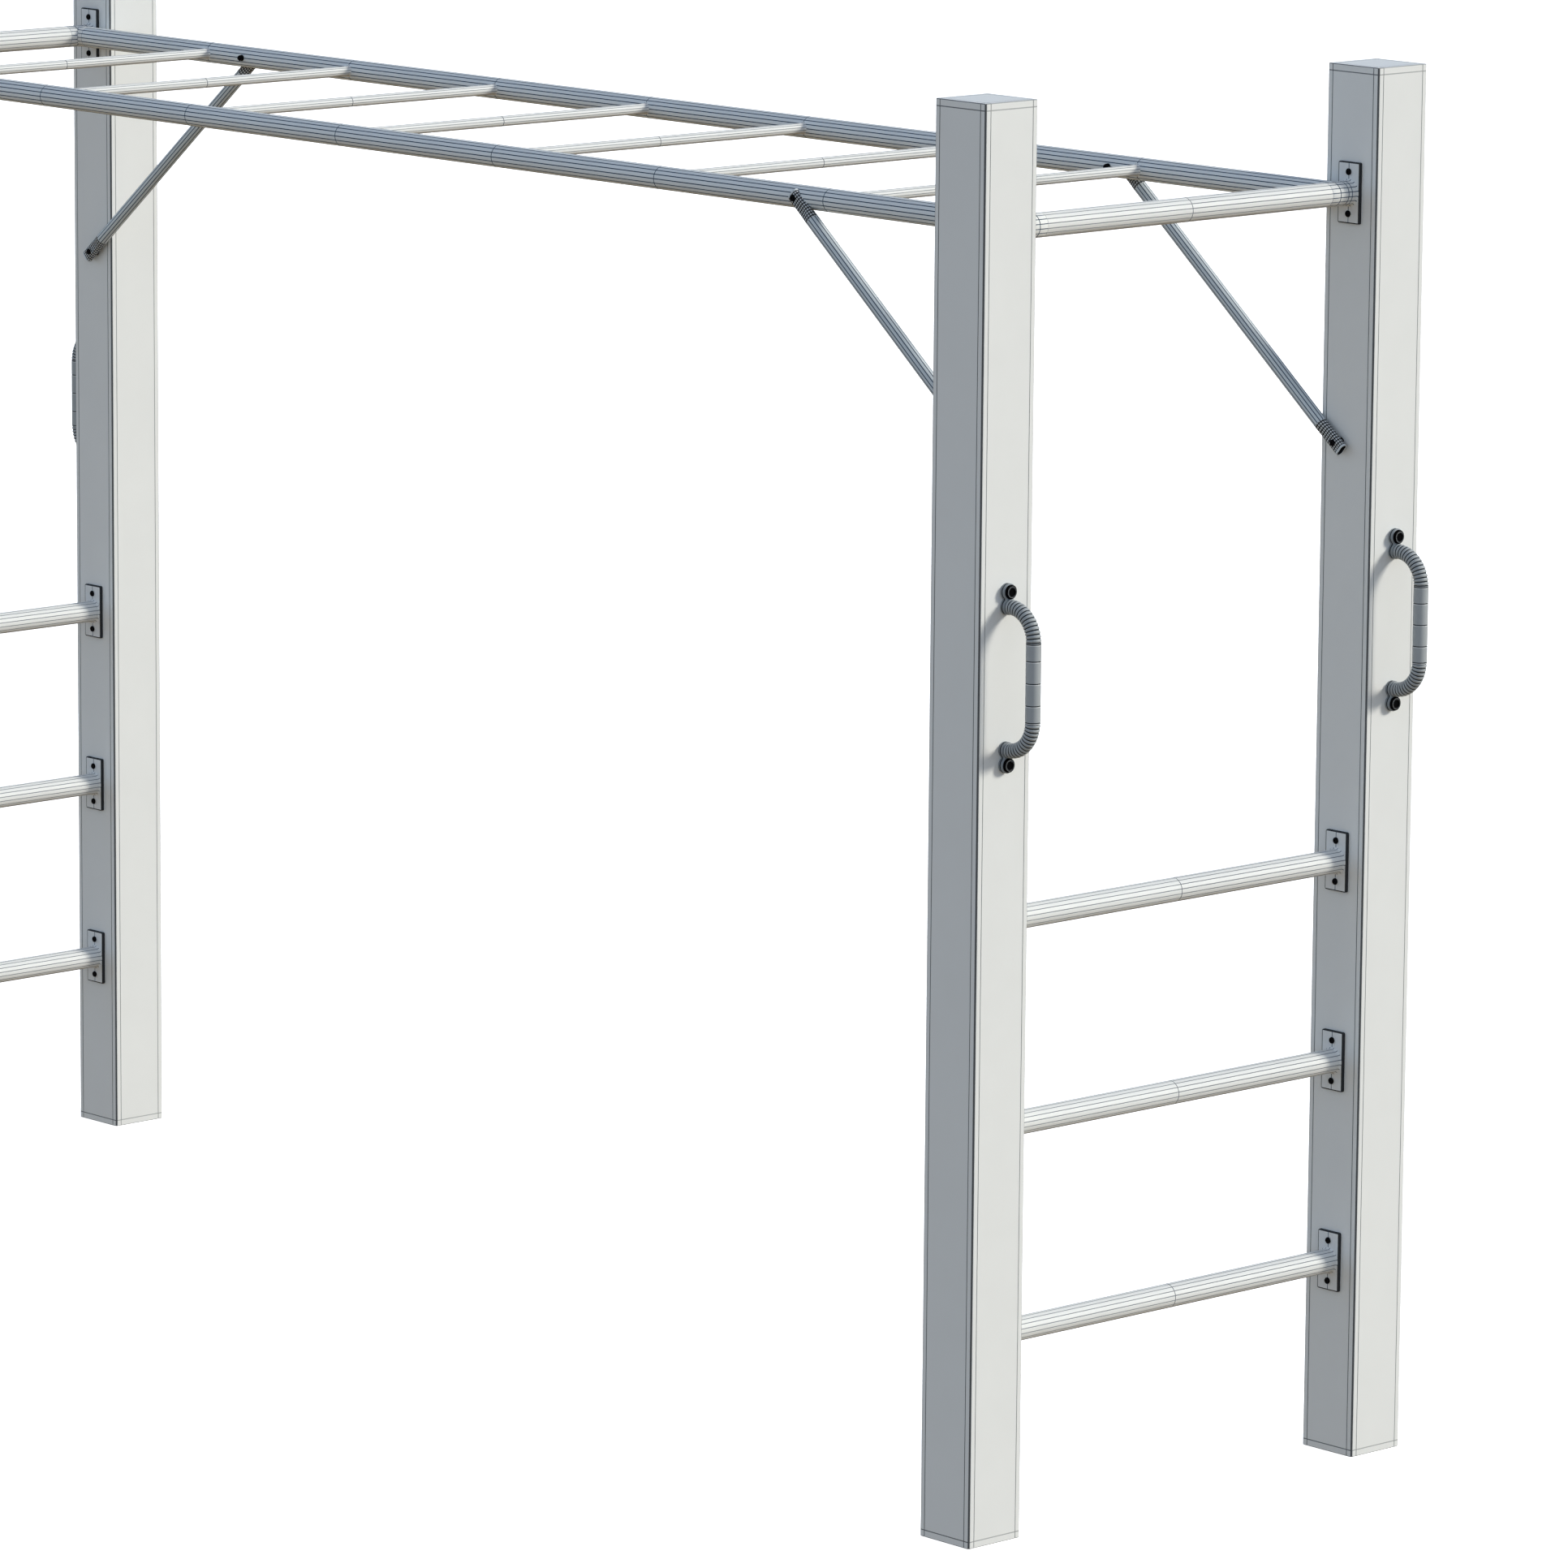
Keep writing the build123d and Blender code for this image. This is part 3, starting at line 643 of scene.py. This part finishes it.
# A brace end is flat from its tip for FLAT_LONG, then rounds out to the tube by SLEEVE.
FLAT_THICK = 12.0 * MM
FLAT_WIDE = 21.0 * MM
FLAT_LONG = 34.0 * MM
SLEEVE = 54.0 * MM
FOOT_OVERHANG = 16.0 * MM    # from the lower bolt to the tip
HEAD_OVERHANG = 8.0 * MM     # from the upper bolt to the tip
BOLT_R = span("brace_post_bolts").z / 2
LOWER = Vector((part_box("brace_post_bolts")[1].x - BOLT_R, 0, centre("brace_post_bolts").z))
UPPER = Vector((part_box("brace_rail_bolts")[1].x - BOLT_R, 0, centre("brace_rail_bolts").z))
SLEEVE_WALL = 1.5 * MM
SLEEVE_PROUD = 0.05 * MM     # the sleeve stands this far out from the tube
SLEEVE_RIBS = 16             # lengthwise grooves round a sleeve
SLEEVE_GROOVE = 0.4 * MM     # their depth
RIB_POINTS = 6               # points to each of them
SLEEVE_HOOPS = 10            # grooves across it
HOOP_START = 4.2 * MM
SLEEVE_PLAIN = 1.6 * MM      # from the last hoop to the sleeve's end
SLEEVE_CHAMFER = 0.5 * MM
SLEEVE_LAP = 0.2 * MM        # the tube starts this far inside the sleeve
MOUTH = (                    # (distance, inset, groove share, band) from inside the tip outward
    # The mouth's inner wall is near black: painted shade inside the slot.
    (18.0 * MM, SLEEVE_WALL, 0, DARK),
    (0.35 * MM, SLEEVE_WALL, 0, ACCENT),
    (0.0, SLEEVE_WALL - 0.35 * MM, 0, ACCENT),
    (0.0, 0.36 * MM, 0, ACCENT),
    (0.18 * MM, 0.12 * MM, 0, ACCENT),
    (0.6 * MM, 0.0, 0, ACCENT),
    (3.0 * MM, 0.0, 0, DARK),
    (3.6 * MM, SLEEVE_GROOVE, 0, DARK),
    (HOOP_START, 0.0, 1, BODY),
)
HOOP = (                     # (distance back from the hoop's end, inset, band), in millimetres
    (3.4, 0.0, BODY), (1.8, 0.0, DARK), (1.4, 0.6, DARK), (0.5, 0.6, DARK), (0.0, 0.0, BODY),
)


def stadium(wide, thick, count):
    """Evenly spaced points round a slot shape, as (x, y, outward x, outward y)."""
    flat = max(wide - thick, 1e-7)    # never quite nought, so that no run is empty
    r = thick / 2
    arc = math.pi * r
    total = 2 * flat + 2 * arc
    points = []
    for n in range(count):
        s = (n / count) * total
        if s < arc / 2:
            middle, t = flat / 2, s / r
        elif s < arc / 2 + flat:
            points.append((flat / 2 - (s - arc / 2), r, 0.0, 1.0))
            continue
        elif s < 1.5 * arc + flat:
            middle, t = -flat / 2, math.pi / 2 + (s - arc / 2 - flat) / r
        elif s < 1.5 * arc + 2 * flat:
            points.append((-flat / 2 + (s - 1.5 * arc - flat), -r, 0.0, -1.0))
            continue
        else:
            middle, t = flat / 2, 1.5 * math.pi + (s - 1.5 * arc - 2 * flat) / r
        points.append((middle + r * math.cos(t), r * math.sin(t), math.cos(t), math.sin(t)))
    return points


def smooth(t):
    """Eases from 0 to 1."""
    t = min(max(t, 0.0), 1.0)
    return t * t * (3 - 2 * t)


def brace_end(bm, tip, along, s):
    """Pressed sleeve: open and flat at the tip, ribbed, round at the tube."""
    across = Vector((-along.z, 0, along.x))
    count = SLEEVE_RIBS * RIB_POINTS

    def section(distance, inset, groove):
        t = smooth((distance - FLAT_LONG) / (SLEEVE - FLAT_LONG))
        wide = FLAT_WIDE + (2 * BRACE_R + 2 * SLEEVE_PROUD - FLAT_WIDE) * t
        thick = FLAT_THICK + (2 * BRACE_R - FLAT_THICK) * t
        origin = Vector((tip.x, s * BRACE_Y, tip.z)) + along * distance
        points = []
        for n, (a, b, na, nb) in enumerate(stadium(wide, thick, count)):
            drop = inset + (SLEEVE_GROOVE * groove if n % RIB_POINTS == 0 else 0.0)
            points.append(origin + across * (a - na * drop) + Y * (s * (b - nb * drop)))
        return points

    segments = [DARK if n % RIB_POINTS in (0, RIB_POINTS - 1) else BODY for n in range(count)]
    stations = list(MOUTH)
    pitch = (SLEEVE - SLEEVE_PLAIN - HOOP_START) / SLEEVE_HOOPS
    for n in range(1, SLEEVE_HOOPS + 1):
        stations += [
            (HOOP_START + pitch * n - back * MM, inset * MM, 1, band) for back, inset, band in HOOP
        ]
    stations += [
        (SLEEVE - SLEEVE_CHAMFER, 0.0, 0, BODY), (SLEEVE, SLEEVE_CHAMFER, 0, BODY),
    ]
    rings = [section(distance, inset, groove) for distance, inset, groove, _ in stations]
    rows = skin(bm, rings, segments, [band for *_, band in stations])
    # The two closing faces, near black, are the mouth's floor (painted shade) and the sleeve's
    # inner end.
    for row in (rows[0], rows[-1]):
        for f in row[0].link_faces:
            if len(f.verts) > 4:
                f.material_index = DARK


def brace(side, end):
    """A slanting tube with a sleeve at each end."""
    s, e = SIDES[side], ENDS[end]
    low = Vector((e * LOWER.x, 0, LOWER.z))
    high = Vector((e * UPPER.x, 0, UPPER.z))
    along = (high - low).normalized()
    low_tip, high_tip = low - along * FOOT_OVERHANG, high + along * HEAD_OVERHANG
    bm = bmesh.new()
    brace_end(bm, low_tip, along, s)
    brace_end(bm, high_tip, -along, s)
    piece(
        f"brace_tips_{side}_{end}", bm, [brace_dark, brace_groove_and_mouth_shade, brace_paint_shaded_copy],
        [f"brace_ends_{side}_{end}"],
    )
    aside = Vector((0, s * BRACE_Y, 0))
    into = SLEEVE - SLEEVE_LAP
    straight_tube(
        f"brace_bar_{side}_{end}", low_tip + along * into + aside, high_tip - along * into + aside,
        BRACE_R, THIN_FLUTES, [], f"brace_{side}_{end}",
        # The brace tube takes the shaded copies of the paint and the seam colour: painted shade.
        width=1.4 * MM, paints=(brace_paint_shaded_copy, seam_dark),
    )


for side, end in CORNERS:
    brace(side, end)


# ---- grab handles -------------------------------------------------------
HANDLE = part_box("handle_rear_right")
GRIP_R = (HANDLE[1].y - HANDLE[0].y) / 2
GRIP_X = HANDLE[1].x - GRIP_R
FOOT_X = HANDLE[0].x
HANDLE_Z = (HANDLE[0].z + HANDLE[1].z) / 2
HALF_GRIP = HANDLE[1].z - GRIP_R - HANDLE_Z
BEND = 45.0 * MM             # radius of a handle's bends
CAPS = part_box("bolt_caps")
CAP_R = 10.0 * MM
CAP_X = CAPS[1].x
BOLT_RISE = CAPS[1].z - CAP_R - HANDLE_Z
LOBE = 11.5 * MM             # radius of a foot's two lobes
LOBE_WEB = 7.0 * MM          # half the width of the neck between them
RIB_PITCH = 5.1 * MM
RIB_DEPTH = 1.25 * MM
RIB_STEP = 0.45 * MM         # slope from the last rib up to the plain grip
RIB_STOP = 1.5 * MM          # from the last rib to the end of the bend
RIB = (                      # (share of the pitch, share of the depth, band)
    (0.0, 1.0, DARK), (0.15, 0.7, BODY), (0.3, 0.12, BODY),
    (0.5, 0.0, BODY), (0.7, 0.12, BODY), (0.85, 0.7, DARK),
)
GRIP_RINGS = (-54.5 * MM, -31.0 * MM, 0.0, 31.0 * MM, 54.5 * MM)    # from the grip's middle
# Each ring line's pale band after its groove is a painted highlight on the crest.
RING = (                     # (distance, drop, band) across a ring line: a groove, then a pale edge
    (-0.7 * MM, 0.0, DARK), (-0.3 * MM, 0.6 * MM, DARK), (0.3 * MM, 0.6 * MM, DARK),
    (0.7 * MM, 0.0, ACCENT), (1.8 * MM, 0.0, BODY),
)
ROUND = plain_circle(40)

# Lengths of the handle's runs: out from a foot, round a bend, along the grip.
STUB = GRIP_X - FOOT_X - BEND
ARC = math.pi / 2 * BEND
STRAIGHT = 2 * (HALF_GRIP - BEND)


def grip_path(distance):
    """Point and direction, each (out from the post, up), at a distance from the top foot."""
    if distance <= STUB:
        return (FOOT_X + distance, HALF_GRIP), (1.0, 0.0)
    distance -= STUB
    if distance <= ARC:
        sin, cos = math.sin(distance / BEND), math.cos(distance / BEND)
        return (FOOT_X + STUB + BEND * sin, HALF_GRIP - BEND + BEND * cos), (cos, -sin)
    distance -= ARC
    if distance <= STRAIGHT:
        return (GRIP_X, HALF_GRIP - BEND - distance), (0.0, -1.0)
    distance -= STRAIGHT
    if distance <= ARC:
        sin, cos = math.sin(distance / BEND), math.cos(distance / BEND)
        return (GRIP_X - BEND + BEND * cos, BEND - HALF_GRIP - BEND * sin), (-sin, -cos)
    distance -= ARC
    return (FOOT_X + STUB - distance, -HALF_GRIP), (-1.0, 0.0)


def grip_stations():
    """(distance, drop in radius, band) along the handle: ribs on the bends, rings on the grip."""
    total = 2 * STUB + 2 * ARC + STRAIGHT
    ribbed = STUB + ARC - RIB_STOP
    count = int(ribbed / RIB_PITCH)
    first = []
    pitch = ribbed / count
    for n in range(count):
        first += [((n + part) * pitch, RIB_DEPTH * drop, band) for part, drop, band in RIB]
    first.append((ribbed, RIB_DEPTH, DARK))
    stations = first + [(ribbed + RIB_STEP, 0.0, BODY)]
    for offset in GRIP_RINGS:
        at = total / 2 + offset
        stations += [(at + distance, drop, band) for distance, drop, band in RING]
    stations.append((total - ribbed - RIB_STEP, 0.0, DARK))
    # A band runs from its station to the next, so mirrored ones take their neighbour's.
    mirrored = list(reversed(first))
    following = [band for *_, band in mirrored[1:]] + [BODY]
    stations += [
        (total - distance, drop, band) for (distance, drop, _), band in zip(mirrored, following)
    ]
    return stations


def handle(side, end):
    """A grab handle: a round bar bent twice, from one foot to the other."""
    s, e = SIDES[side], ENDS[end]
    rings, bands = [], []
    for distance, drop, band in grip_stations():
        (out, up), (go_out, go_up) = grip_path(distance)
        origin = Vector((e * out, s * POST_Y, HANDLE_Z + up))
        outward = Vector((e * -go_up, 0, go_out))
        rings.append(circle_ring(origin, Y, outward, ROUND, GRIP_R - drop, 0.0))
        bands.append(band)
    bm = bmesh.new()
    skin(bm, rings, [BODY] * len(ROUND), bands)
    piece(
        f"grip_{side}_{end}", bm, [grip_plastic, grip_groove, grip_painted_highlight],
        [f"handle_{side}_{end}"], angle=50,
    )


def lobed_outline(inset, up):
    """Outline of a two-lobed foot in the post's face, as (across, up) from the handle's middle."""
    r = LOBE - inset
    half_web = LOBE_WEB - inset * 0.8
    gap = math.asin(half_web / r)
    sweep = 2 * math.pi - 2 * gap
    points = []
    steps = 26
    for middle, turn in ((BOLT_RISE, -math.pi / 2 + gap), (HALF_GRIP, math.pi / 2 + gap)):
        for n in range(steps + 1):
            angle = turn + sweep * n / steps
            points.append((r * math.cos(angle), up * (middle + r * math.sin(angle))))
    return points


# Profiles in millimetres, stretched to the CAD pieces' own heights.
FOOT_PROFILE = (             # (inset, height, band), with a groove round the middle
    (0.3, 0.0, BODY), (0.0, 0.3, BODY), (0.0, 2.9, DARK), (1.1, 3.3, DARK), (1.1, 4.2, DARK),
    (0.0, 4.6, BODY), (0.0, 7.1, BODY), (0.25, 7.7, BODY), (0.9, 8.0, BODY),
)
FOOT_TALL = 8.0
# The lighter grey bands of the ring line are a painted highlight.
CAP_PROFILE = (              # (height, radius, band), with a ring line and a dished middle
    (0.0, 9.4, BODY), (0.25, 10.0, BODY), (2.3, 10.0, BODY), (2.9, 9.85, BODY),
    (3.4, 9.4, BODY), (3.8, 8.7, BODY), (4.0, 8.0, DARK), (4.0, 7.4, BODY),
    (3.7, 7.1, BODY), (3.7, 6.6, DARK), (4.0, 6.3, BODY), (4.0, 5.6, BODY),
    (3.85, 5.3, BODY), (3.0, 5.1, BODY), (2.95, 2.0, BODY), (2.9, 0.4, BODY),
)
CAP_TALL = 4.0


def handle_foot(bm, s, e, up):
    """One of a handle's two feet: the lower where up is -1, the upper where it is 1."""
    deep = FOOT_X - FACE_X
    rings = []
    for inset, rise, _ in FOOT_PROFILE:
        out = e * (FACE_X + rise * deep / FOOT_TALL)
        rings.append([
            Vector((out, s * POST_Y + a, HANDLE_Z + b)) for a, b in lobed_outline(inset * MM, up)
        ])
    skin(bm, rings, [BODY] * len(rings[0]), [band for *_, band in FOOT_PROFILE])


def bolt_cap(bm, s, e, up):
    """The round cap over the bolt of that foot."""
    scale = (CAP_X - FOOT_X) / CAP_TALL
    origin = Vector((e * FOOT_X, s * POST_Y, HANDLE_Z + up * BOLT_RISE))
    rings = [
        circle_ring(origin + X * (e * rise * scale), Y, Z, ROUND, r * MM, 0.0)
        for rise, r, _ in CAP_PROFILE
    ]
    skin(bm, rings, [BODY] * len(ROUND), [band for *_, band in CAP_PROFILE])


def feet_and_caps():
    feet, caps = bmesh.new(), bmesh.new()
    for side, end in CORNERS:
        for up in (-1, 1):
            handle_foot(feet, SIDES[side], ENDS[end], up)
            bolt_cap(caps, SIDES[side], ENDS[end], up)
    piece("feet", feet, [foot_plastic, grip_groove], ["handle_feet"], angle=50)
    piece("caps", caps, [cap_black, cap_ring_painted_highlight], ["bolt_caps"], angle=50)


for side, end in CORNERS:
    handle(side, end)
feet_and_caps()


# ---- CAD pieces that keep their shape -----------------------------------
def dress(node, material):
    """Gives a CAD piece its material."""
    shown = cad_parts[node]
    shown.data.materials.clear()
    shown.data.materials.append(material)


for side, end in CORNERS:
    for part in ("post", "post_cap", "post_foot"):
        dress(f"{part}_{side}_{end}", post_paint)
for node in (
    "plate_screws", "brace_post_bolts", "brace_rail_bolts", "brace_rail_nuts",
    "handle_bolts", "brace_spacers",
):
    dress(node, steel_black)
dress("rivet_nuts", zinc)


# ---- studio -------------------------------------------------------------
def stage_material(name, colour, emission):
    material, shader, _, _ = node_maker(name)
    shader.inputs["Base Color"].default_value = (*colour, 1)
    shader.inputs["Roughness"].default_value = 0.9
    shader.inputs["Emission Color"].default_value = (1, 1, 1, 1)
    shader.inputs["Emission Strength"].default_value = emission
    return material


def stage_object(name, bm, material):
    mesh = bpy.data.meshes.new(name)
    bm.to_mesh(mesh)
    bm.free()
    mesh.polygons.foreach_set("use_smooth", [True] * len(mesh.polygons))
    mesh.materials.append(material)
    made = bpy.data.objects.new(name, mesh)
    bpy.context.scene.collection.objects.link(made)
    made.visible_diffuse = False
    made.visible_glossy = False
    return made


FLOOR_RADIUS = 70
FLOOR_GLOW = 0.85            # enough that the floor shows no shadow
BACKDROP_RADIUS = 80
BACKDROP_GLOW = 1.1

bm = bmesh.new()
bmesh.ops.create_circle(bm, cap_ends=True, segments=96, radius=FLOOR_RADIUS)
stage_object("floor", bm, stage_material("floor_white", (0.9, 0.9, 0.9), FLOOR_GLOW))

bm = bmesh.new()
bmesh.ops.create_icosphere(bm, subdivisions=5, radius=BACKDROP_RADIUS)
bmesh.ops.reverse_faces(bm, faces=bm.faces)
backdrop = stage_object(
    "backdrop", bm, stage_material("backdrop_white", (0.0, 0.0, 0.0), BACKDROP_GLOW),
)
backdrop.visible_shadow = False

# Light by height, from straight down (0) through the horizon (0.5) to straight up (1).
SKY = (
    (0.0, (0.15, 0.095, 0.035)), (0.42, (0.34, 0.27, 0.17)),
    (0.56, (0.61, 0.80, 1.03)), (1.0, (0.23, 0.215, 0.24)),
)
SUN_STRENGTH = 2.855
SUN_COLOUR = (1.0, 0.96, 0.86)
SUN_ANGLE = math.radians(14)
SUN_WAY = Vector((-1.0, -1.05, -0.69))    # the way its light travels

world = bpy.data.worlds.new("studio")
bpy.context.scene.world = world
world.use_nodes = True
tree = world.node_tree
background = tree.nodes["Background"]
place = tree.nodes.new("ShaderNodeTexCoord")
split = tree.nodes.new("ShaderNodeSeparateXYZ")
tree.links.new(place.outputs["Generated"], split.inputs[0])
ramp = tree.nodes.new("ShaderNodeValToRGB")
ramp.color_ramp.interpolation = "EASE"
stops = ramp.color_ramp.elements
stops.remove(stops[1])
stops[0].position = SKY[0][0]
stops[0].color = (*SKY[0][1], 1)
for position, colour in SKY[1:]:
    stops.new(position).color = (*colour, 1)
height = tree.nodes.new("ShaderNodeMapRange")
height.inputs["From Min"].default_value = -1
height.inputs["From Max"].default_value = 1
tree.links.new(split.outputs["Z"], height.inputs["Value"])
tree.links.new(height.outputs["Result"], ramp.inputs["Fac"])
tree.links.new(ramp.outputs["Color"], background.inputs["Color"])
background.inputs["Strength"].default_value = 1.0

sun = bpy.data.lights.new("key", "SUN")
sun.energy = SUN_STRENGTH
sun.color = SUN_COLOUR
sun.angle = SUN_ANGLE
sun_object = bpy.data.objects.new("key", sun)
bpy.context.scene.collection.objects.link(sun_object)
sun_object.rotation_mode = "QUATERNION"
sun_object.rotation_quaternion = SUN_WAY.to_track_quat("-Z", "Y")
bpy.context.scene.view_settings.view_transform = "Standard"


# ---- camera -------------------------------------------------------------
YAW, PITCH, ROLL = math.radians(-47.385), math.radians(-10.438), math.radians(0.452)
CAMERA_PLACE = (10.133, -8.744, 3.293)
LENS, SENSOR = 203.5, 36     # millimetres

forward = Vector((
    math.cos(PITCH) * math.sin(YAW), math.cos(PITCH) * math.cos(YAW), math.sin(PITCH),
))
right = Vector((math.cos(YAW), -math.sin(YAW), 0))
up = right.cross(forward)
right, up = (
    right * math.cos(ROLL) + up * math.sin(ROLL),
    up * math.cos(ROLL) - right * math.sin(ROLL),
)
camera_data = bpy.data.cameras.new("camera")
camera_data.lens = LENS
camera_data.sensor_width = SENSOR
camera_data.clip_end = 400
camera = bpy.data.objects.new("camera", camera_data)
bpy.context.scene.collection.objects.link(camera)
camera.matrix_world = Matrix((
    (right.x, up.x, -forward.x, CAMERA_PLACE[0]),
    (right.y, up.y, -forward.y, CAMERA_PLACE[1]),
    (right.z, up.z, -forward.z, CAMERA_PLACE[2]),
    (0, 0, 0, 1),
))
bpy.context.scene.camera = camera
